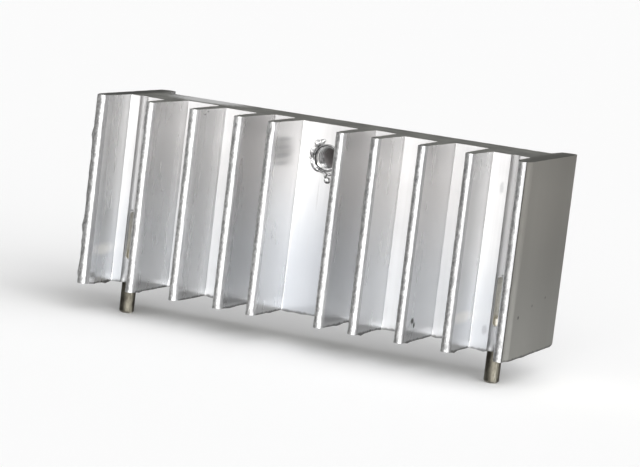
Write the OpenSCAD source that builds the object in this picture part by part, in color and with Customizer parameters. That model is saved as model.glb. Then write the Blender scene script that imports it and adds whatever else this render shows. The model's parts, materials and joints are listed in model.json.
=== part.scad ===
// Extruded aluminium heat sink with two press-fitted solder pins.
// The extrusion stands on its saw-cut end: ten webs in front, a thick base,
// and two flanges behind that close round a power device.
// Frame: origin midway between the pin axes in the bottom cut plane,
// +X to the right seen from the fins, -Y towards the fin tips, +Z up.

/* [Overall] */
// Cut length of the extrusion, standing upright
profile_h = 30; // [24:0.5:40]
// Width over the outer faces of the end plates
body_w = 72.1; // [60:0.1:90]
// Depth from the fin tips to the back face of the base
body_d = 19.55; // [16:0.05:25]

/* [Base] */
// Base thickness behind the channels that hold the pins
pin_base_t = 11.65; // [9.5:0.05:13]
// Base thickness behind the channels next to the pin channels
deep_base_t = 7.55; // [6:0.05:9]
// Base thickness behind the second pair of wide channels
mid_base_t = 9.55; // [8:0.05:11]
// Base thickness behind the centre channel
centre_base_t = 9.35; // [8:0.05:11]
// Radius in the floor corners of every channel
floor_r = 0.25; // [0.1:0.05:0.8]

/* [Fins] */
// Fin thickness at the rounded tip
fin_tip_t = 1.5; // [1.2:0.05:1.8]
// Fin thickness at the root
fin_root_t = 2.1; // [1.6:0.05:2.6]
// Pitch of the two fins either side of the centre channel
inner_pitch = 5.7; // [5:0.05:7]
// Extra width of the pin channel over the other wide channels
pin_channel_extra = 0.8; // [0:0.05:1.5]

/* [End plates] */
// Thickness of the end plates beside the fins
plate_t = 2.4; // [2:0.05:3]
// Distance of the end plate nose centre from the outer face
nose_in = 1.1; // [1:0.05:1.3]
// Length over which the end plate widens behind its rounded nose
nose_taper = 2.2; // [1.2:0.1:4]
// Thickness of the flanges where they leave the base
flange_root_t = 3.05; // [2.6:0.05:3.6]
// Thickness of the flanges at their rounded rear end
flange_tip_t = 2.6; // [2.1:0.05:2.8]
// Distance of the rear flange centre from the outer face
flange_in = 1.4; // [1.4:0.05:1.8]
// Length of the flanges behind the base
flange_len = 4.8; // [3:0.1:8]

/* [Solder pins] */
// Diameter of the plain pin shank
pin_d = 2.36; // [1.9:0.01:2.9]
// Length of pin below the cut face
pin_out = 5; // [3:0.1:8]
// Length of pin pressed into the base
pin_in = 5.2; // [3.5:0.1:8]
// Distance of the pin axes from the outer faces
pin_from_side = 4.8; // [4.4:0.05:5.4]
// Chamfer on both pin ends
pin_chamfer = 0.3; // [0.1:0.05:0.4]
// Length of the straight knurl that grips the hole
knurl_len = 3.6; // [2:0.1:4.5]
// Teeth in the straight knurl
knurl_teeth = 24; // [18:1:32]
// Depth of the knurl teeth
knurl_depth = 0.12; // [0.06:0.01:0.16]
// Radial step from the shank down to the smooth pilot
pilot_step = 0.18; // [0.16:0.01:0.3]
// Gap between the knurl tips and the hole
press_gap = 0.01; // [0.005:0.005:0.02]

/* [Pin holes] */
// Radial clearance of the hole over the pin shank
hole_clearance = 0.02; // [0.01:0.01:0.05]
// Full-diameter depth of the hole
hole_depth = 11.4; // [9:0.1:14]
// Width of the pilot groove in front of each hole
groove_w = 1.5; // [1:0.05:1.8]
// Depth of the pilot groove
groove_depth = 0.6; // [0.4:0.05:0.7]
// Metal left between the groove floor and the hole
groove_wall = 0.2; // [0.1:0.05:0.5]
// Width of the window between the groove and the hole
window_w = 1; // [0.5:0.05:1.2]
// Height at which the window starts
window_from = 3.8; // [2:0.1:5]

/* [Device screw hole] */
// Minor diameter of the tapped hole
screw_d = 3.3; // [2.5:0.05:4.2]
// Distance of the hole axis below the top cut face
screw_from_top = 5.3; // [4:0.1:8]
// Front chamfer of the tapped hole
screw_chamfer = 0.45; // [0.2:0.05:0.6]
// Rear chamfer of the tapped hole
screw_back_chamfer = 0.3; // [0.1:0.05:0.5]

/* [Hidden] */
$fn = 64;
eps = 0.5;
hole_r = pin_d / 2 + hole_clearance;
pin_setback = hole_r + groove_wall + groove_depth;
pin_x = body_w / 2 - pin_from_side;
back_y = pin_base_t - pin_setback;
tip_y = back_y - body_d;
tip_r = fin_tip_t / 2;
web_y = tip_y + tip_r;
outer_x = body_w / 2;
nose_x = outer_x - nose_in;
plate_x = outer_x - plate_t;
rear_r = flange_tip_t / 2;
rear_x = outer_x - flange_in;
rear_y = back_y + flange_len - rear_r;
mid_pitch = (nose_x - 2 * inner_pitch - pin_channel_extra) / 3;
fin_x = [inner_pitch, 2 * inner_pitch, 2 * inner_pitch + mid_pitch, 2 * inner_pitch + 2 * mid_pitch];
pin_floor = -pin_setback;
deep_floor = back_y - deep_base_t;
mid_floor = back_y - mid_base_t;
centre_floor = back_y - centre_base_t;
screw_z = profile_h - screw_from_top;

// One open channel: sides lean in towards a floor with rounded corners.
module channel(mouth_a, mouth_b, root_a, root_b, floor_y) {
    corner_y = floor_y - floor_r;
    polygon([
        [mouth_a, web_y - eps],
        [mouth_b, web_y - eps],
        [mouth_b, web_y],
        [root_b, corner_y],
        [root_a, corner_y],
        [mouth_a, web_y]
    ]);
    translate([root_a + floor_r, corner_y - floor_r])
        square([root_b - root_a - 2 * floor_r, 2 * floor_r]);
    translate([root_a + floor_r, corner_y])
        circle(r = floor_r);
    translate([root_b - floor_r, corner_y])
        circle(r = floor_r);
}

// A channel between two fins given by their centre lines.
module fin_channel(a, b, floor_y) {
    channel(a + tip_r, b - tip_r, a + fin_root_t / 2, b - fin_root_t / 2, floor_y);
}

// The five channels from the centre outwards to the right.
module right_channels() {
    fin_channel(fin_x[0], fin_x[1], deep_floor);
    fin_channel(fin_x[1], fin_x[2], mid_floor);
    fin_channel(fin_x[2], fin_x[3], deep_floor);
    channel(fin_x[3] + tip_r, nose_x, fin_x[3] + fin_root_t / 2, plate_x, pin_floor);
}

// Right end plate: rounded nose that widens to the full thickness.
module right_end_plate() {
    translate([nose_x, web_y])
        circle(r = tip_r);
    polygon([
        [nose_x - tip_r, web_y],
        [nose_x + tip_r, web_y],
        [outer_x, tip_y + nose_taper],
        [outer_x, back_y],
        [plate_x, back_y],
        [plate_x, tip_y + nose_taper]
    ]);
}

// Right flange behind the base with a full round at its rear end.
module right_flange() {
    polygon([
        [outer_x - flange_root_t, back_y],
        [outer_x - flange_root_t, back_y - 1],
        [outer_x, back_y - 1],
        [outer_x, back_y],
        [rear_x + rear_r, rear_y],
        [rear_x - rear_r, rear_y]
    ]);
    translate([rear_x, rear_y])
        circle(r = rear_r);
}

// Everything right of the centre line that is added to the base block.
module right_side() {
    right_end_plate();
    right_flange();
    for (x = fin_x)
        translate([x, web_y])
            circle(r = tip_r);
}

// Cross-section of the extrusion.
module profile() {
    difference() {
        translate([-nose_x, web_y])
            square([2 * nose_x, back_y - web_y]);
        fin_channel(-fin_x[0], fin_x[0], centre_floor);
        right_channels();
        mirror([1, 0]) right_channels();
        for (side = [-1, 1])
            translate([side * pin_x, pin_floor - groove_w / 2 + groove_depth])
                circle(d = groove_w);
    }
    right_side();
    mirror([1, 0]) right_side();
}

// Drilled blind hole with a 118 degree drill point.
module pin_hole() {
    point_h = hole_r * tan(31);
    rotate_extrude()
        polygon([
            [0, -eps],
            [hole_r, -eps],
            [hole_r, hole_depth],
            [0, hole_depth + point_h]
        ]);
    for (z = [window_from + window_w / 2, hole_depth - window_w / 2])
        translate([0, 0, z])
            rotate([90, 0, 0])
                cylinder(d = window_w, h = pin_setback);
    translate([-window_w / 2, -pin_setback, window_from + window_w / 2])
        cube([window_w, pin_setback, hole_depth - window_from - window_w]);
}

// Tapped hole drawn at its minor diameter, chamfered at both faces.
module screw_hole() {
    r = screw_d / 2;
    translate([0, centre_floor, screw_z])
        rotate([-90, 0, 0])
            rotate_extrude()
                polygon([
                    [0, -eps],
                    [r + screw_chamfer + eps, -eps],
                    [r, screw_chamfer],
                    [r, centre_base_t - screw_back_chamfer],
                    [r + screw_back_chamfer + eps, centre_base_t + eps],
                    [0, centre_base_t + eps]
                ]);
}

module heat_sink() {
    color([0.72, 0.73, 0.74])
        difference() {
            linear_extrude(height = profile_h)
                profile();
            translate([-pin_x, 0, 0]) pin_hole();
            translate([pin_x, 0, 0]) pin_hole();
            screw_hole();
        }
}

// Turned pin: plain shank below the cut face, straight knurl, smooth pilot.
module solder_pin() {
    r = pin_d / 2;
    tooth_r = hole_r - press_gap;
    core_r = tooth_r - knurl_depth;
    pilot_r = r - pilot_step;
    color([0.62, 0.55, 0.36]) {
        rotate_extrude()
            polygon([
                [0, -pin_out],
                [r - pin_chamfer, -pin_out],
                [r, -pin_out + pin_chamfer],
                [r, 0],
                [0, 0]
            ]);
        linear_extrude(height = knurl_len)
            polygon([
                for (i = [0 : 2 * knurl_teeth - 1])
                    let (a = 180 * i / knurl_teeth, q = i % 2 == 0 ? tooth_r : core_r)
                        [q * cos(a), q * sin(a)]
            ]);
        rotate_extrude()
            polygon([
                [0, knurl_len],
                [pilot_r, knurl_len],
                [pilot_r, pin_in - pin_chamfer],
                [pilot_r - pin_chamfer, pin_in],
                [0, pin_in]
            ]);
    }
}

module solder_pin_left() {
    translate([-pin_x, 0, 0]) solder_pin();
}

module solder_pin_right() {
    translate([pin_x, 0, 0]) solder_pin();
}

heat_sink();
solder_pin_left();
solder_pin_right();
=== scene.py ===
"""Looks for the extruded heat sink: a satin aluminium extrusion with two tarnished brass solder pins.

x runs to the right as seen from the fins, y from the fin tips to the back, z up from the lower saw
cut. Objects are in metres; marks, noise and the shapes of burrs are given in millimetres.
"""

import json
import math
from collections import namedtuple

import bmesh
import bpy
from mathutils import Matrix, Vector, noise


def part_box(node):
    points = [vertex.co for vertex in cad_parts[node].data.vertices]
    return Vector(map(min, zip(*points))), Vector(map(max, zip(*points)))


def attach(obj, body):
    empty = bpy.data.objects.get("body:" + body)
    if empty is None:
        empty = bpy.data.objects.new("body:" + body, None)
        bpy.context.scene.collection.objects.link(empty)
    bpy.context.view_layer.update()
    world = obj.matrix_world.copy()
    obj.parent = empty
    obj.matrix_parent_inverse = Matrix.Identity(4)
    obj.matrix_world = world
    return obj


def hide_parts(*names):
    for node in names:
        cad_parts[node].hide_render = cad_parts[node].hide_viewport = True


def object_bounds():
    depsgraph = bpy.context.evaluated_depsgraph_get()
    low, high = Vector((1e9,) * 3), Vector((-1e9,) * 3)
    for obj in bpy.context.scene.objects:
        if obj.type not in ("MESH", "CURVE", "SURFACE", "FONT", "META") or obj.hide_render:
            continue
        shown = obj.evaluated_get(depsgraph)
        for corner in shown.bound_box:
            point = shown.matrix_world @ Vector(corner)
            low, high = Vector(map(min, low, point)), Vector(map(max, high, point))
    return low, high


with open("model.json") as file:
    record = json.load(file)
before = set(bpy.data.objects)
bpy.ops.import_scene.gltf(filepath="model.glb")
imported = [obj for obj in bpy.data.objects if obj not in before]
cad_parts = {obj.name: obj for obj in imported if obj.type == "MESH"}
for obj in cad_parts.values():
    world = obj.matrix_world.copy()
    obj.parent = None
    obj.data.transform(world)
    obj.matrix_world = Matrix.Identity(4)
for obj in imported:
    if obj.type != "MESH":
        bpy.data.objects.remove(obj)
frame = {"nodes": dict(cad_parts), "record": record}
bpy.context.view_layer.update()
cad_low, cad_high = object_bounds()


# ---------------------------------------------------------------- places taken from the frame
MM = 0.001
TOUCH = 1e-6  # metres: points nearer than this count as the same
SINK = frame["nodes"]["heat_sink"]
SINK_LOW, SINK_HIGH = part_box("heat_sink")
PIN_LOW, PIN_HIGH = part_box("solder_pin_right")
PIN_X = (PIN_LOW.x + PIN_HIGH.x) / 2
MOUNTS = {mount["name"]: mount for mount in frame["record"]["mounts"]}
HOLE_Z = MOUNTS["device_screw"]["pos_m"][2]
HOLE_R = MOUNTS["device_screw"]["dims"]["r_mm"] * MM
BACK_Y = MOUNTS["device_face"]["pos_m"][1]
GROOVE_HALF = 1.3 * MM  # the pilot groove lies within this distance of its pin's axis


def first_hit(start, along):
    """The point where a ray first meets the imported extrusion, or None."""
    met, point, _, _ = SINK.ray_cast(Vector(start), Vector(along))
    return point if met else None


def floor_at(x):
    """How far back the channel floor lies at x."""
    return first_hit((x, SINK_LOW.y - 20 * MM, 20 * MM), (0, 1, 0)).y


def web_faces():
    """The x of the right-hand face of each web: left plate, eight fins, right plate (mm)."""
    y, z = SINK_LOW.y + 4 * MM, SINK_HIGH.z / 2
    crossings = []
    point = first_hit((SINK_HIGH.x + MM, y, z), (-1, 0, 0))
    while point is not None:
        crossings.append(point.x / MM)
        point = first_hit((point.x - 0.01 * MM, y, z), (-1, 0, 0))
    return crossings[::2][::-1]


CHANNEL_FLOOR = floor_at(3 * MM)
PIN_CHANNEL = floor_at(PIN_X - GROOVE_HALF)
WEB_FACES = web_faces()

# The same places in millimetres, for the materials
TIP = SINK_LOW.y / MM
REAR = SINK_HIGH.y / MM
TOP = SINK_HIGH.z / MM
SIDE = SINK_HIGH.x / MM
FLOOR_DEPTH = CHANNEL_FLOOR / MM
PIN_FLOOR_DEPTH = PIN_CHANNEL / MM


# ---------------------------------------------------------------- node helpers
def rgba(red, green, blue):
    return (red, green, blue, 1.0)


def grey(level):
    return rgba(level, level, level)


# A soft-edged patch of another tone: an ellipsoid in millimetres, and how strongly it covers
Mark = namedtuple("Mark", "centre radii tone strength")


class Graph:
    """The node tree of one material, with short calls for the nodes used here."""

    def __init__(self, name):
        self.mat = bpy.data.materials.new(name)
        self.mat.use_nodes = True
        self.tree = self.mat.node_tree
        self.tree.nodes.clear()
        self.out = self.node("OutputMaterial")
        coords = self.node("TexCoord").outputs["Object"]
        self.place = self.vector("MULTIPLY", coords, (1 / MM, 1 / MM, 1 / MM))

    def node(self, kind, **settings):
        n = self.tree.nodes.new("ShaderNode" + kind)
        for key, value in settings.items():
            setattr(n, key, value)
        return n

    def put(self, socket, value):
        if isinstance(value, bpy.types.NodeSocket):
            self.tree.links.new(value, socket)
        else:
            socket.default_value = value

    def finish(self, shader):
        self.tree.links.new(shader.outputs[0], self.out.inputs["Surface"])
        return self.mat

    def math(self, operation, a, b=0.0):
        n = self.node("Math", operation=operation)
        self.put(n.inputs[0], a)
        self.put(n.inputs[1], b)
        return n.outputs[0]

    def add(self, a, b):
        return self.math("ADD", a, b)

    def less(self, a, b):
        return self.math("SUBTRACT", a, b)

    def times(self, a, b):
        return self.math("MULTIPLY", a, b)

    def vector(self, operation, a, b=(0.0, 0.0, 0.0)):
        n = self.node("VectorMath", operation=operation)
        self.put(n.inputs[0], a)
        self.put(n.inputs[1], b)
        return n.outputs["Value" if operation == "LENGTH" else "Vector"]

    def split(self, value):
        n = self.node("SeparateXYZ")
        self.put(n.inputs[0], value)
        return n.outputs

    def combine(self, value):
        """One number as a vector of three equal parts."""
        n = self.node("CombineXYZ")
        for socket in n.inputs:
            self.put(socket, value)
        return n.outputs[0]

    def ramp(self, value, low, high, to_low=0.0, to_high=1.0):
        """A smooth step from to_low, where value is low, to to_high, where it is high."""
        n = self.node("MapRange", interpolation_type="SMOOTHSTEP")
        for socket, amount in zip(n.inputs, (value, low, high, to_low, to_high)):
            self.put(socket, amount)
        return n.outputs["Result"]

    def mix(self, amount, a, b, blend="MIX"):
        n = self.node("Mix", data_type="RGBA", blend_type=blend)
        self.put(n.inputs[0], amount)
        self.put(n.inputs[6], a)
        self.put(n.inputs[7], b)
        return n.outputs[2]

    def noise(self, stretch, per_mm, detail=2.0, rough=0.5):
        """Noise with per_mm features a millimetre; a stretch below 1 draws them out along that axis."""
        n = self.node("TexNoise")
        n.inputs["Scale"].default_value = per_mm
        n.inputs["Detail"].default_value = detail
        n.inputs["Roughness"].default_value = rough
        self.put(n.inputs["Vector"], self.vector("MULTIPLY", self.place, stretch))
        return n.outputs["Fac"]

    def mark(self, colour, mark, soft, ragged):
        """The colour with one mark laid over it."""
        off = self.vector("DIVIDE", self.vector("SUBTRACT", self.place, mark.centre), mark.radii)
        away = self.vector("LENGTH", off)
        if ragged:
            wander = self.less(self.noise((1, 1, 1), per_mm=1.5), 0.5)
            away = self.add(away, self.times(wander, ragged))
        inside = self.ramp(away, 1.0 - soft, 1.0, 1.0, 0.0)
        return self.mix(self.times(inside, mark.strength), colour, mark.tone)

    def normal(self):
        return self.node("NewGeometry").outputs["Normal"]

    def level_tangent(self):
        """The level direction along a face, which drawn metal spreads its reflections in."""
        return self.vector("CROSS_PRODUCT", (0.0, 0.0, 1.0), self.normal())

    def bump(self, height_mm):
        n = self.node("Bump")
        n.inputs["Distance"].default_value = MM
        self.put(n.inputs["Height"], height_mm)
        return n.outputs["Normal"]

    def shade(self, colour, rough, metal, **settings):
        n = self.node("BsdfPrincipled")
        self.put(n.inputs["Base Color"], colour)
        self.put(n.inputs["Roughness"], rough)
        n.inputs["Metallic"].default_value = metal
        for key, value in settings.items():
            self.put(n.inputs[key], value)
        return self.finish(n)


# ---------------------------------------------------------------- materials
WARM_LIGHT = rgba(1.0, 0.990, 0.985)
COOL_LIGHT = rgba(0.980, 0.988, 1.0)
FOOT_PAINTED_SHADE = rgba(0.16, 0.16, 0.155)
BROAD_MARK = 3.5  # a mark with a radius from here on has a smooth edge


def drawn_aluminium(
    name, bright, dull, rough, metal=1.0, lines=0.0006, streak=1.0,
    low_painted_light=0.9, top_painted_light=1.0, front_painted_light=1.0, rear_painted_light=1.0, marks=(),
):
    """Mill-finish extrusion: fine die lines along z, soft streaks, patches of duller skin.

    lines is the height of the die lines, streak how much the gloss varies. The painted light factors
    paint shade and light into the tone towards the foot, the top, the fin tips and the rear.
    """
    g = Graph(name)
    fine = g.noise((1, 1, 0.010), per_mm=2.4, detail=4.0, rough=0.6)
    broad = g.noise((1, 1, 0.016), per_mm=0.42)
    patch = g.noise((1, 1, 0.6), per_mm=0.16, detail=3.0)
    grain = g.noise((1, 1, 0.35), per_mm=7.0)
    skin = g.add(g.add(g.times(fine, 0.20), g.times(broad, 0.40)), g.times(patch, 0.40))
    colour = g.mix(g.ramp(skin, 0.34, 0.66), dull, bright)

    _, y, z = g.split(g.place)
    # Painted reflection tint: cooler towards the foot, warmer towards the top
    painted_reflection_tint = g.mix(g.ramp(z, 6.0, TOP - 6.0), COOL_LIGHT, WARM_LIGHT)
    colour = g.mix(1.0, colour, painted_reflection_tint, "MULTIPLY")
    # Painted shade and light: the tone is scaled towards the foot, the top, the fin tips and the rear
    painted_light_gain = g.times(g.ramp(z, -2.0, 17.0, low_painted_light, 1.0), g.ramp(z, TOP - 5.5, TOP, 1.0, top_painted_light))
    painted_light_gain = g.times(painted_light_gain, g.ramp(y, TIP + 0.9, REAR - 0.45, front_painted_light, rear_painted_light))
    colour = g.vector("MULTIPLY", colour, g.combine(painted_light_gain))
    for mark in marks:
        ragged = 0.7 if max(mark.radii) < BROAD_MARK else 0.0
        colour = g.mark(colour, mark, soft=0.7, ragged=ragged)
    # Painted shade along the lower saw-cut edge, with a ragged upper border
    ragged_foot = g.less(z, g.times(g.noise((1, 1, 0.3), per_mm=1.3), 0.5))
    colour = g.mix(g.ramp(ragged_foot, -0.25, 0.10, 0.8, 0.0), colour, FOOT_PAINTED_SHADE)

    rough = g.add(g.times(g.less(broad, 0.5), 0.12 * streak), rough)
    rough = g.add(g.times(g.less(patch, 0.5), 0.08 * streak), rough)
    height = g.add(g.times(fine, lines), g.times(grain, 0.0001))
    return g.shade(
        colour, rough, metal, Normal=g.bump(height), Anisotropic=0.95, Tangent=g.level_tangent()
    )


def nose_wear_and_painted_light(name):
    """Web tips: painted shade and chatter on the left, a painted highlight band, then a painted shade line
    on the right.
    """
    g = Graph(name)
    streak = g.noise((1, 1, 0.10), per_mm=1.3, detail=3.0)
    speck = g.noise((1, 1, 0.55), per_mm=2.6, detail=3.0, rough=0.7)
    coarse = g.noise((1, 1, 0.5), per_mm=1.1, rough=0.6)
    pits = g.ramp(g.noise((1, 1, 0.6), per_mm=1.9, rough=0.6), 0.60, 0.68)
    facing = g.split(g.normal())[0]
    along = g.split(g.place)[0]

    # The painted shade (dull) on the left of each tip is lighter on the webs at the left
    speckled = g.ramp(speck, 0.40, 0.62)
    light = g.mix(speckled, rgba(0.42, 0.42, 0.415), rgba(0.69, 0.69, 0.685))
    dark = g.mix(speckled, grey(0.33), rgba(0.55, 0.55, 0.545))
    dull = g.mix(g.ramp(along, -22.0, 26.0), light, dark)
    # clean is the tone of the painted highlight band
    clean = g.mix(g.ramp(streak, 0.34, 0.62), rgba(0.66, 0.66, 0.67), grey(0.90))

    # The painted highlight band starts further round on the left half and near the right plate
    right_shift = g.ramp(along, 18.0, 34.0, 0.0, 0.20)
    left_shift = g.ramp(along, 6.5, 12.0, 0.15, 0.0)
    ragged = g.add(facing, g.times(g.less(speck, 0.5), 0.9))
    ragged = g.add(ragged, g.times(g.less(coarse, 0.5), 0.5))
    ragged = g.less(ragged, g.add(right_shift, left_shift))
    colour = g.mix(g.ramp(ragged, 0.15, 0.60), dull, clean)

    # The painted shade line on the right is faint on the left half, but not on the left plate
    line_right = g.ramp(along, 6.5, 14.0, 0.25, 0.80)
    line_left_plate = g.ramp(along, -33.0, -30.0, 0.80, 0.0)
    line = g.math("MAXIMUM", line_right, line_left_plate)
    edge = g.ramp(g.add(facing, right_shift), 0.66, 0.92, 0.0, line)
    colour = g.mix(edge, colour, rgba(0.42, 0.42, 0.425))
    colour = g.mix(g.times(pits, 0.25), colour, grey(0.16))

    rough = g.add(0.22, g.times(speck, 0.18))
    height = g.less(g.times(speck, 0.03), g.times(pits, 0.006))
    return g.shade(colour, rough, 0.78, Normal=g.bump(height))


def sawn_aluminium(name, bright, dull, marks):
    """Saw-cut ends: dull grey with fine parallel cut lines."""
    g = Graph(name)
    cut = g.noise((0.05, 1, 1), per_mm=6.0, detail=3.0, rough=0.6)
    cloud = g.noise((1, 1, 1), per_mm=0.35, detail=3.0)
    skin = g.add(g.times(cut, 0.5), g.times(cloud, 0.5))
    colour = g.mix(g.ramp(skin, 0.36, 0.64), dull, bright)
    for mark in marks:
        colour = g.mark(colour, mark, soft=0.6, ragged=0.8)
    rough = g.add(0.46, g.times(cloud, 0.12))
    return g.shade(colour, rough, 1.0, Normal=g.bump(g.times(cut, 0.012)))


def drilled_aluminium(name):
    """Pale mottled metal that a drill has left."""
    g = Graph(name)
    speck = g.noise((1, 1, 1), per_mm=2.5, detail=3.0, rough=0.6)
    colour = g.mix(g.ramp(speck, 0.38, 0.62), rgba(0.86, 0.85, 0.81), rgba(0.97, 0.96, 0.92))
    rough = g.add(0.35, g.times(speck, 0.1))
    return g.shade(colour, rough, 0.1, Normal=g.bump(g.times(speck, 0.02)))


def thread_metal(name):
    """Painted highlight on the thread crests, painted shade in the roots, mottled painted shade in the
    lower half, a plain grey painted shadow past the first turns.
    """
    g = Graph(name)
    x, y, z = g.split(g.vector("SUBTRACT", g.place, (0.0, 0.0, HOLE_Z / MM)))
    radius = g.math("SQRT", g.add(g.times(x, x), g.times(z, z)))
    crest = HOLE_R / MM
    # Painted highlight on the crests and painted shade in the roots, by distance from the axis
    colour = g.mix(g.ramp(radius, crest + 0.07, crest + 0.14), grey(0.98), grey(0.36))
    # Mottled painted shade over the lower half of the thread
    mottled_painted_shade = g.ramp(g.noise((1, 1, 1), per_mm=2.6, detail=3.0, rough=0.6), 0.42, 0.58, 0.28, 0.62)
    colour = g.mix(g.ramp(z, -0.55, -0.15), g.combine(mottled_painted_shade), colour)
    # Painted shadow, plain grey, deeper than the first turns
    deep = g.ramp(y, FLOOR_DEPTH + 3.2, FLOOR_DEPTH + 3.3)
    colour = g.mix(deep, colour, rgba(0.62, 0.59, 0.585))
    return g.shade(colour, 0.14, 0.40)


def torn_metal(name):
    """The burr round the hole: grey lumps, with painted shade below, on the left and where they meet the
    face.
    """
    g = Graph(name)
    speck = g.noise((1, 1, 1), per_mm=2.2, detail=3.0, rough=0.6)
    colour = g.mix(g.ramp(speck, 0.38, 0.60), grey(0.34), grey(0.66))
    facing_x, _, facing_z = g.split(g.normal())
    _, y, z = g.split(g.place)
    hole_z = HOLE_Z / MM
    # Painted shade on faces turned down, less of it higher up
    below = g.times(
        g.ramp(facing_z, -0.55, 0.15, 1.0, 0.0), g.ramp(z, hole_z - 0.2, hole_z + 1.0, 1.0, 0.25)
    )
    colour = g.mix(below, colour, grey(0.10))
    # Painted shade on faces turned to the left
    colour = g.mix(g.ramp(facing_x, -0.80, -0.15), grey(0.26), colour)
    # Painted shade where the burr meets the face
    rise = g.less(FLOOR_DEPTH, y)
    foot = g.times(g.ramp(rise, 0.0, 0.12, 1.0, 0.0), g.ramp(rise, -0.10, -0.05))
    colour = g.mix(foot, colour, grey(0.13))
    return g.shade(colour, 0.20, 1.0, Normal=g.bump(g.times(speck, 0.05)))


def tarnished_brass(name):
    """Pins gone olive brown with rubbed streaks along them, and a clean pilot at the upper end."""
    g = Graph(name)
    streak = g.noise((1, 1, 0.12), per_mm=1.7, detail=3.0, rough=0.6)
    cloud = g.noise((1, 1, 0.5), per_mm=0.9, detail=3.0, rough=0.6)
    speck = g.noise((1, 1, 1), per_mm=5.0)
    tarnish = g.mix(g.ramp(cloud, 0.36, 0.66), rgba(0.09, 0.082, 0.066), rgba(0.21, 0.197, 0.16))
    rubbed = g.times(g.ramp(streak, 0.55, 0.72), 0.6)
    colour = g.mix(rubbed, tarnish, rgba(0.55, 0.53, 0.45))
    spots = g.times(g.ramp(speck, 0.62, 0.72), 0.5)
    colour = g.mix(spots, colour, rgba(0.08, 0.07, 0.05))
    pin_top = PIN_HIGH.z / MM
    pilot = g.ramp(g.split(g.place)[2], pin_top - 1.9, pin_top - 1.3)
    colour = g.mix(pilot, colour, rgba(0.95, 0.91, 0.80))
    rough = g.add(0.26, g.times(cloud, 0.18))
    return g.shade(colour, rough, 1.0, Normal=g.bump(g.times(speck, 0.01)))


# ---------------------------------------------------------------- marks on the extrusion
def wall_marks():
    """Darker faces, smears, a lighter patch, painted reflection bands and nicks on the right-hand faces of
    the webs.
    """
    left_plate, fin_2, fin_3, _, fin_5, _, _, fin_8, fin_9, _ = WEB_FACES
    middle = TIP + 3.9
    smear, nick, scratch = rgba(0.50, 0.50, 0.51), rgba(0.05, 0.05, 0.045), grey(0.30)
    return (
        Mark((left_plate, middle, 24.0), (1.0, 12.0, 24.0), grey(0.69), 0.9),
        Mark((fin_9, middle, 25.0), (1.0, 9.0, 20.0), grey(0.68), 0.9),
        Mark((fin_2, middle, 14.0), (1.0, 10.0, 26.0), grey(0.71), 0.75),
        Mark((fin_3, middle, 14.0), (1.0, 10.0, 26.0), grey(0.70), 0.85),
        Mark((fin_5, middle + 1.0, 9.0), (0.6, 10.0, 15.0), grey(1.0), 0.8),
        Mark((fin_5, middle, 27.3), (0.6, 4.2, 0.50), smear, 0.40),
        Mark((fin_5, middle, 26.0), (0.6, 3.8, 0.42), smear, 0.25),
        Mark((fin_5, middle - 0.2, 24.7), (0.6, 4.4, 0.55), smear, 0.50),
        Mark((fin_5, middle - 0.4, 23.5), (0.6, 3.8, 0.45), smear, 0.35),
        # Painted reflection bands low on the left plate and on fin 9
        Mark((left_plate, middle - 0.2, 5.4), (0.8, 5.6, 1.3), rgba(1.0, 0.99, 0.97), 0.9),
        Mark((fin_9, middle, 5.0), (0.8, 5.6, 1.3), rgba(1.0, 0.98, 0.95), 0.9),
        Mark((fin_8, middle - 0.5, 3.15), (0.8, 0.85, 0.62), nick, 1.0),
        Mark((fin_8, middle + 0.3, 2.45), (0.8, 0.45, 0.55), nick, 1.0),
        Mark((fin_3, middle - 0.8, TOP - 0.85), (0.8, 0.55, 0.16), scratch, 0.8),
        Mark((fin_3, middle + 0.2, TOP - 0.45), (0.8, 0.50, 0.13), scratch, 0.8),
    )


def floor_marks():
    """The shaded lower part of the centre and pin channels, then smudges and drag lines."""
    pin_shade = (5.0, 1.5, 18.0), rgba(0.60, 0.62, 0.65), 0.7
    return (
        Mark((-1.0, FLOOR_DEPTH, 0.0), (9.0, 1.5, 26.0), rgba(0.54, 0.56, 0.595), 0.85),
        Mark((0.75 - PIN_X / MM, PIN_FLOOR_DEPTH, 0.0), *pin_shade),
        Mark((PIN_X / MM - 0.75, PIN_FLOOR_DEPTH, 0.0), *pin_shade),
        Mark((29.7, PIN_FLOOR_DEPTH, 24.8), (0.45, 0.4, 1.3), rgba(0.45, 0.45, 0.46), 0.45),
        Mark((29.8, PIN_FLOOR_DEPTH, 3.1), (0.60, 0.4, 1.0), rgba(0.40, 0.40, 0.42), 0.55),
        Mark((1.1, FLOOR_DEPTH, 13.0), (0.22, 0.4, 4.6), rgba(0.55, 0.55, 0.56), 0.50),
        Mark((-0.8, FLOOR_DEPTH, 18.6), (0.18, 0.4, 3.4), grey(0.55), 0.50),
        Mark((-1.5, FLOOR_DEPTH, 10.6), (0.16, 0.4, 3.0), rgba(0.60, 0.60, 0.62), 0.40),
        Mark((1.3, FLOOR_DEPTH, 1.8), (0.22, 0.4, 0.35), grey(0.30), 0.70),
    )


def groove_marks():
    """Painted shade in the notch where the drilled hole ends in each pilot groove."""
    across, height = PIN_X / MM + 0.2, 11.6
    return tuple(
        Mark((side * across, PIN_FLOOR_DEPTH + 0.3, height), (0.42, 0.8, 0.30), grey(0.12), 0.9)
        for side in (-1, 1)
    )


def outer_marks():
    """Three dark specks low on the right plate."""
    speck = rgba(0.14, 0.13, 0.12)
    return (
        Mark((SIDE, -5.6, 6.4), (0.6, 0.5, 0.35), rgba(0.12, 0.11, 0.10), 0.8),
        Mark((SIDE, 0.35, 7.6), (0.6, 0.4, 0.3), speck, 0.7),
        Mark((SIDE, 6.3, 8.3), (0.6, 0.4, 0.3), speck, 0.7),
    )


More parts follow.
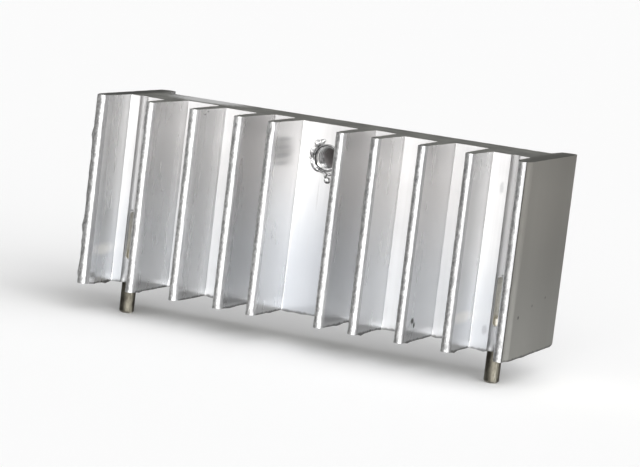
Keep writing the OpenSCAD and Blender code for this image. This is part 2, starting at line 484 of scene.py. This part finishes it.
def sawn_marks():
    """A painted highlight near the left rear, and darker plate tops."""
    return (
        # Painted highlight on the top near the left rear
        Mark((-24.5, 7.5, TOP), (8.5, 5.5, 1.0), grey(0.72), 0.85),
        Mark((0.85 - SIDE, 3.0, TOP), (2.6, 18.0, 1.0), rgba(0.06, 0.06, 0.055), 0.9),
        Mark((SIDE - 0.85, 3.0, TOP), (2.6, 18.0, 1.0), rgba(0.09, 0.09, 0.08), 0.9),
    )


# ---------------------------------------------------------------- the extrusion
WALL, FLOOR, NOSE, CUT, OUTER, BACK, BORE, GROOVE, TAPER = range(9)
SQUARE_ON = 0.9  # a face counts as facing along an axis when its normal has this much of it
PLATE_ZONE = 1.3 * MM  # how far in from the sides a face can belong to the outside of a plate
NOSE_DEPTH = 1.2 * MM  # how far behind the foremost point the webs have the nose material, with its painted shade and highlight
TIP_DEPTH = 1.6 * MM  # how far behind the foremost point the webs are worn out of shape
# Distances between the slices: across and back, upwards, and close to the worn edges
SLICE, SLICE_UP, THIN_SLICE = 1.2 * MM, 0.65 * MM, 0.2 * MM
THIN_BAND = 2.4 * MM  # the thin slices reach this far from the rear and from the lower saw cut
SHARP, SHARP_WORN = math.radians(24), math.radians(62)  # edges from these angles up stay sharp


def sink_materials():
    """One material for each slot, in the order of the slots."""
    return [
        drawn_aluminium(
            "aluminium_wall", grey(0.86), grey(0.83), 0.28,
            streak=0.6, low_painted_light=1.02, top_painted_light=0.88, marks=wall_marks(),
        ),
        drawn_aluminium(
            "aluminium_floor", grey(0.925), grey(0.80), 0.34,
            metal=0.5, low_painted_light=0.97, top_painted_light=0.88, marks=floor_marks(),
        ),
        nose_wear_and_painted_light("aluminium_nose"),
        sawn_aluminium("aluminium_sawn", rgba(0.24, 0.24, 0.22), rgba(0.15, 0.15, 0.14), sawn_marks()),
        # Painted shade: the outer faces are made darker than the webs
        drawn_aluminium(
            "aluminium_outer", rgba(0.47, 0.46, 0.425), rgba(0.455, 0.445, 0.41), 0.30,
            lines=0.0003, streak=0.2, low_painted_light=1.26, top_painted_light=0.92, front_painted_light=1.15, rear_painted_light=0.93,
            marks=outer_marks(),
        ),
        drawn_aluminium("aluminium_back", grey(0.85), grey(0.72), 0.30),
        drilled_aluminium("aluminium_bore"),
        # Painted shade: the groove is made darker than the floor round it
        drawn_aluminium("aluminium_groove", grey(0.58), grey(0.50), 0.32, marks=groove_marks()),
        # Painted shade: the taper is made far darker than the outer faces
        drawn_aluminium(
            "aluminium_taper", rgba(0.080, 0.078, 0.072), rgba(0.075, 0.073, 0.067), 0.34, low_painted_light=1.0
        ),
    ]


def face_kind(face):
    """The slot of one face, from where it lies and which way it faces."""
    centre, normal = face.calc_center_median(), face.normal
    from_hole = math.hypot(centre.x, centre.z - HOLE_Z)
    if from_hole < 1.4 * HOLE_R and centre.y > 0 and abs(normal.y) < SQUARE_ON:
        return BORE
    if abs(normal.z) > SQUARE_ON:
        return CUT
    if normal.y > SQUARE_ON and centre.y > BACK_Y - 0.65 * MM:
        return BACK
    # The outside of a plate: flat for most of its depth, then tapering in towards the tip
    outside = abs(centre.x) > SINK_HIGH.x - PLATE_ZONE and normal.x * centre.x > 0
    if outside and (centre.y > 0 or abs(normal.x) > 0.97):
        return OUTER
    if outside and abs(normal.x) > 0.85:
        return TAPER
    if centre.y < SINK_LOW.y + NOSE_DEPTH:
        return NOSE
    behind_floor = centre.y - PIN_CHANNEL
    if abs(abs(centre.x) - PIN_X) < GROOVE_HALF and 0.05 * MM < behind_floor < 4 * MM:
        return GROOVE if behind_floor < 0.65 * MM else BORE
    if normal.y < -SQUARE_ON:
        return FLOOR
    return TAPER if outside else WALL


def ripple(point, wavelength, seed):
    """Smooth noise between -1 and 1 with about the given wavelength in millimetres."""
    q = point / (MM * wavelength)
    return noise.noise(Vector((q.x + seed, q.y - seed, q.z + 0.5 * seed)))


def cut_across(bm, axis, start, stop, step):
    """Adds edge loops where evenly spaced planes across one axis cut the mesh."""
    across = Vector((0, 0, 0))
    across[axis] = 1.0
    count = max(1, round((stop - start) / step))
    for i in range(1, count):
        point = across * (start + (stop - start) * i / count)
        everything = bm.verts[:] + bm.edges[:] + bm.faces[:]
        bmesh.ops.bisect_plane(bm, geom=everything, dist=1e-7, plane_co=point, plane_no=across)


# Where the tip of the left plate has been knocked proud: height, how far, half height (mm)
KNOCKS = (
    (23.6, 0.26, 0.9),
    (20.9, 0.10, 0.6),
    (14.0, 0.08, 0.8),
    (9.1, 0.24, 0.8),
    (6.6, 0.10, 0.5),
    (2.0, 0.12, 0.9),
)


def wear(point, normal):
    """How far a point of the extrusion moves: chattered tips, knocked plate, burrs under the saw cut."""
    move = Vector((0, 0, 0))
    at_tip = point.y < SINK_LOW.y + TIP_DEPTH
    if at_tip:
        chatter = 0.022 * (1 + ripple(point, 1.1, 3.0)) + 0.016 * (1 + ripple(point, 0.45, 9.0))
        move -= normal * chatter * MM
    if at_tip and point.x < SINK_LOW.x + MM:
        height = point.z / MM
        knock = sum(far * math.exp(-(((height - at) / wide) ** 2)) for at, far, wide in KNOCKS)
        jag = 0.05 * (1 + ripple(point, 2.0, 5.0)) + 0.10 * (1 + ripple(point, 0.8, 25.0))
        move.x -= max(0.0, -normal.x) * (knock + jag) * MM
    if point.z < TOUCH:
        tallest = 0.16 if at_tip else 0.60
        burr = max(0.0, ripple(point, 2.2, 14.0)) ** 1.3 * tallest + 0.05 * (1 + ripple(point, 0.8, 21.0))
        move.z -= burr * MM
    elif point.z > SINK_HIGH.z - TOUCH:
        move.z -= 0.03 * (1 + ripple(point, 1.4, 31.0)) * MM
    return move


def round_rear_corner(point):
    """The lower rear corner of the right flange is bumped round."""
    radius = 2.2 * MM
    y, z = point.y - (SINK_HIGH.y - radius), point.z - radius
    reach = math.hypot(y, z)
    if point.x > 33 * MM and y > 0 and z < 0 and reach > radius:
        point.y += y * (radius / reach - 1)
        point.z += z * (radius / reach - 1)


def in_hole_wall(face):
    """Whether a face belongs to the plain wall of the tapped hole, which the thread replaces."""
    beyond = [math.hypot(v.co.x, v.co.z - HOLE_Z) - HOLE_R for v in face.verts]
    return abs(face.normal.y) < 0.1 and -0.15 * MM < min(beyond) and max(beyond) < 0.02 * MM


def build_sink():
    """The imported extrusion, cut into thin slices so its drawn edges can be worn and wavy."""
    bm = bmesh.new()
    bm.from_mesh(SINK.data)
    bmesh.ops.remove_doubles(bm, verts=bm.verts, dist=TOUCH)
    cut_across(bm, 0, SINK_LOW.x, SINK_HIGH.x, SLICE)
    cut_across(bm, 1, SINK_LOW.y, SINK_HIGH.y, SLICE)
    cut_across(bm, 1, SINK_HIGH.y - THIN_BAND, SINK_HIGH.y + THIN_SLICE, THIN_SLICE)
    cut_across(bm, 2, 0.0, SINK_HIGH.z, SLICE_UP)
    cut_across(bm, 2, 0.0, THIN_BAND, THIN_SLICE)
    bm.normal_update()
    for face in bm.faces:
        face.material_index = face_kind(face)
        face.smooth = True
    plain_wall = [face for face in bm.faces if in_hole_wall(face)]
    bmesh.ops.delete(bm, geom=plain_wall, context="FACES")

    moves = [(v, wear(v.co, v.normal)) for v in bm.verts]
    for v, move in moves:
        v.co += move
        v.co.x = max(v.co.x, SINK_LOW.x)
        round_rear_corner(v.co)
    bm.normal_update()
    for edge in bm.edges:
        if len(edge.link_faces) == 2:
            worn = all(face.material_index == NOSE for face in edge.link_faces)
            edge.smooth = edge.calc_face_angle() < (SHARP_WORN if worn else SHARP)

    mesh = bpy.data.meshes.new("sink_body")
    bm.to_mesh(mesh)
    bm.free()
    for mat in sink_materials():
        mesh.materials.append(mat)
    sink = add_piece("sink_body", mesh)
    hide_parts("heat_sink")


# ---------------------------------------------------------------- the tapped hole
def add_piece(name, mesh):
    """A piece of the extrusion, which rides with the whole object."""
    piece = bpy.data.objects.new(name, mesh)
    bpy.context.collection.objects.link(piece)
    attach(piece, "root")
    return piece


def smooth_mesh(name, verts, faces, mat):
    mesh = bpy.data.meshes.new(name)
    mesh.from_pydata(verts, [], faces)
    mesh.materials.append(mat)
    for face in mesh.polygons:
        face.use_smooth = True
    mesh.update()
    return mesh


def ring_grid(rows, turns):
    """Faces of a grid of rings, each ring closed."""
    faces = []
    for i in range(rows - 1):
        for j in range(turns):
            k = (j + 1) % turns
            faces.append((i * turns + j, i * turns + k, (i + 1) * turns + k, (i + 1) * turns + j))
    return faces


def build_thread():
    """A helical V thread between the two chamfers of the hole."""
    pitch, deep, chamfer = 0.7 * MM, 0.36 * MM, 0.30 * MM
    flat, flank = 0.14, 0.72  # shares of half a pitch
    turns, rows_per_pitch = 96, 12
    start, stop = CHANNEL_FLOOR + chamfer, BACK_Y - chamfer
    rows = int((stop - start) / (pitch / rows_per_pitch)) + 1
    verts = []
    for i in range(rows):
        y = start + (stop - start) * i / (rows - 1)
        for j in range(turns):
            a = 2 * math.pi * j / turns
            phase = ((y - start) / pitch - j / turns) % 1.0
            cut = min(1.0, max(0.0, (1 - abs(2 * phase - 1) - flat) / flank))
            r = HOLE_R + deep * cut
            verts.append((r * math.cos(a), y, HOLE_Z + r * math.sin(a)))
    mesh = smooth_mesh("hole_thread", verts, ring_grid(rows, turns), thread_metal("aluminium_thread"))
    add_piece("hole_thread", mesh)


# Lumps of torn metal round the hole: place across and up from its axis, half width, half height, rise (mm)
LUMPS = (
    (-1.75, 2.10, 0.56, 0.52, 0.50),
    (-1.10, 2.30, 0.42, 0.50, 0.44),
    (-0.75, 2.62, 0.26, 0.26, 0.30),
    (-2.70, -0.30, 0.24, 0.20, 0.24),
    (0.10, -2.70, 0.24, 0.46, 0.34),
    (0.50, -3.45, 0.52, 0.50, 0.52),
    (0.75, -2.50, 0.34, 0.22, 0.22),
    (2.45, 1.10, 0.40, 0.50, 0.30),
)
# Curled ridges that follow the rim: mid angle and half angle (degrees), radius, half width, rise (mm)
CURLS = (
    (162.0, 20.0, 2.58, 0.42, 0.46),
    (216.0, 30.0, 2.42, 0.42, 0.44),
    (318.0, 20.0, 2.50, 0.30, 0.26),
)


def dome(away, rise):
    """Height of a blunt dome at a distance from its middle, where 1 is its edge."""
    return rise * math.sqrt(1 - away * away) ** 0.8 if away < 1.0 else 0.0


def burr_height(x, z):
    """Height of the torn rim above the channel floor at a place from the hole's axis, in millimetres."""
    r = math.hypot(x, z)
    a = math.atan2(z, x)
    wobble = noise.noise(Vector((2.2 * math.cos(a), 2.2 * math.sin(a), 1.3)))
    crest = 2.04 + 0.03 * wobble
    ring = (0.30 + 0.08 * wobble) * math.exp(-(((r - crest) / 0.09) ** 2))
    inside = -0.20 * max(0.0, min(1.0, (crest - 0.10 - r) / 0.28))
    left_side = max(0.0, math.cos(a - math.radians(190)))
    outer = left_side * (0.30 + 0.16 * wobble) * math.exp(-(((r - crest - 0.32) / 0.13) ** 2))
    tall = ring + outer
    if r > crest + 0.15:
        for lump_x, lump_z, half_x, half_z, rise in LUMPS:
            tall = max(tall, dome(math.hypot((x - lump_x) / half_x, (z - lump_z) / half_z), rise))
    for middle, half_angle, radius, half_width, rise in CURLS:
        turn = (math.degrees(a) - middle + 180.0) % 360.0 - 180.0
        tall = max(tall, dome(math.hypot(turn / half_angle, (r - radius) / half_width), rise))
    rough = 0.05 * noise.noise(Vector((x * 3.1, z * 3.1, 7.0)))
    return tall + inside + (rough if tall > 0.05 else 0.0) - 0.03


def build_burr():
    """The torn rim and its lumps, as a fine ring of faces over the channel floor."""
    turns, rows, inner, outer = 300, 96, 1.66, 4.35
    verts = []
    for i in range(rows):
        r = inner + (outer - inner) * i / (rows - 1)
        for j in range(turns):
            a = 2 * math.pi * j / turns
            x, z = r * math.cos(a), r * math.sin(a)
            verts.append((x * MM, CHANNEL_FLOOR - burr_height(x, z) * MM, HOLE_Z + z * MM))
    faces = [tuple(reversed(face)) for face in ring_grid(rows, turns)]
    add_piece("hole_burr", smooth_mesh("hole_burr", verts, faces, torn_metal("aluminium_burr")))


# ---------------------------------------------------------------- the pins
def finish_pins():
    brass = tarnished_brass("pin_brass")
    for name in ("solder_pin_left", "solder_pin_right"):
        frame["nodes"][name].material_slots[0].material = brass


# ---------------------------------------------------------------- studio
CAMERA_LENS = 154.95
CAMERA_YAW, CAMERA_TILT, CAMERA_ROLL = (math.radians(a) for a in (22.366, 7.523, 6.853))
CAMERA_FROM_CENTRE = Vector((0.16175, -0.39420, 0.05642))
CAMERA_SENSOR = 36.0
FLOOR_HALF = 3.0
CARD_FROM, CARD_TO = -245, -24  # azimuths in degrees, 0 in front of the fins and 90 at the right
CARD_AWAY, CARD_LOW, CARD_HIGH = 0.7, -0.5, 0.6
CARD_GREY = 0.19
FILL = 0.45  # how bright the world is for the rays that only light the object


def towards(azimuth, height):
    """The direction from the object to an azimuth and a height, both in degrees."""
    a, e = math.radians(azimuth), math.radians(height)
    return Vector((math.sin(a) * math.cos(e), -math.cos(a) * math.cos(e), math.sin(e)))


def make_camera():
    data = bpy.data.cameras.new("camera")
    data.lens = CAMERA_LENS
    data.sensor_width = CAMERA_SENSOR
    data.clip_start = 0.01
    data.clip_end = 20.0
    cam = bpy.data.objects.new("camera", data)
    bpy.context.collection.objects.link(cam)
    flat = math.cos(CAMERA_TILT)
    ahead = Vector((-math.sin(CAMERA_YAW) * flat, math.cos(CAMERA_YAW) * flat, -math.sin(CAMERA_TILT)))
    level = Vector((math.cos(CAMERA_YAW), math.sin(CAMERA_YAW), 0))
    above = level.cross(ahead)
    right = math.cos(CAMERA_ROLL) * level + math.sin(CAMERA_ROLL) * above
    up = -math.sin(CAMERA_ROLL) * level + math.cos(CAMERA_ROLL) * above
    turn = Matrix((right, up, -ahead)).transposed().to_4x4()
    centre = (cad_low + cad_high) / 2
    cam.matrix_world = Matrix.Translation(centre + CAMERA_FROM_CENTRE) @ turn
    bpy.context.scene.camera = cam


def add_stage(name, verts, faces, mat):
    """A piece of the studio, which is no part of the object."""
    mesh = bpy.data.meshes.new(name)
    mesh.from_pydata(verts, [], faces)
    mesh.materials.append(mat)
    piece = bpy.data.objects.new(name, mesh)
    bpy.context.collection.objects.link(piece)
    return piece


def make_floor():
    """Plain pale paper under the pins, which reflections don't show."""
    g = Graph("floor_paper")
    paper = g.node("BsdfDiffuse")
    paper.inputs["Color"].default_value = grey(0.92)
    s = FLOOR_HALF
    verts = [(-s, -s, 0), (s, -s, 0), (s, s, 0), (-s, s, 0)]
    floor = add_stage("floor", verts, [(0, 1, 2, 3)], g.finish(paper))
    floor.location.z = cad_low.z
    floor.visible_glossy = False


def make_card():
    """A curved grey card round the left and back, seen only in reflections."""
    g = Graph("card_left")
    glow = g.node("Emission")
    glow.inputs["Color"].default_value = grey(CARD_GREY)
    steps = 48
    verts, faces = [], []
    for i in range(steps + 1):
        x, y, _ = CARD_AWAY * towards(CARD_FROM + (CARD_TO - CARD_FROM) * i / steps, 0)
        verts += [(x, y, CARD_LOW), (x, y, CARD_HIGH)]
        if i:
            faces.append((2 * i - 2, 2 * i, 2 * i + 1, 2 * i - 1))
    card = add_stage("card_left", verts, faces, g.finish(glow))
    card.visible_camera = False
    card.visible_diffuse = False
    card.visible_shadow = False
    card.visible_transmission = False


def make_sun(name, azimuth, height, spread, strength):
    data = bpy.data.lights.new(name, "SUN")
    data.angle = math.radians(spread)
    data.energy = strength
    lamp = bpy.data.objects.new(name, data)
    lamp.location = towards(azimuth, height)
    lamp.rotation_mode = "QUATERNION"
    lamp.rotation_quaternion = (-lamp.location).to_track_quat("-Z", "Y")
    bpy.context.collection.objects.link(lamp)


def make_world():
    """White for camera, glossy and transmission rays, a softer fill for the rest."""
    world = bpy.data.worlds.new("studio")
    bpy.context.scene.world = world
    world.use_nodes = True
    nodes, link = world.node_tree.nodes, world.node_tree.links.new
    nodes.clear()
    out = nodes.new("ShaderNodeOutputWorld")
    seen, fill = nodes.new("ShaderNodeBackground"), nodes.new("ShaderNodeBackground")
    for background, strength in ((seen, 1.0), (fill, FILL)):
        background.inputs["Color"].default_value = grey(1.0)
        background.inputs["Strength"].default_value = strength
    path = nodes.new("ShaderNodeLightPath")
    first, second = nodes.new("ShaderNodeMath"), nodes.new("ShaderNodeMath")
    first.operation = second.operation = "MAXIMUM"
    link(path.outputs["Is Camera Ray"], first.inputs[0])
    link(path.outputs["Is Glossy Ray"], first.inputs[1])
    link(first.outputs[0], second.inputs[0])
    link(path.outputs["Is Transmission Ray"], second.inputs[1])
    mix = nodes.new("ShaderNodeMixShader")
    link(second.outputs[0], mix.inputs[0])
    link(fill.outputs[0], mix.inputs[1])
    link(seen.outputs[0], mix.inputs[2])
    link(mix.outputs[0], out.inputs[0])


# ---------------------------------------------------------------- the scene
make_floor()
make_card()
make_world()
make_sun("key", azimuth=70, height=32, spread=80, strength=1.7)
make_sun("front", azimuth=34, height=20, spread=66, strength=2.75)
make_camera()

build_sink()
build_thread()
build_burr()
finish_pins()

bpy.context.scene.view_settings.view_transform = "Standard"

bpy.context.view_layer.update()
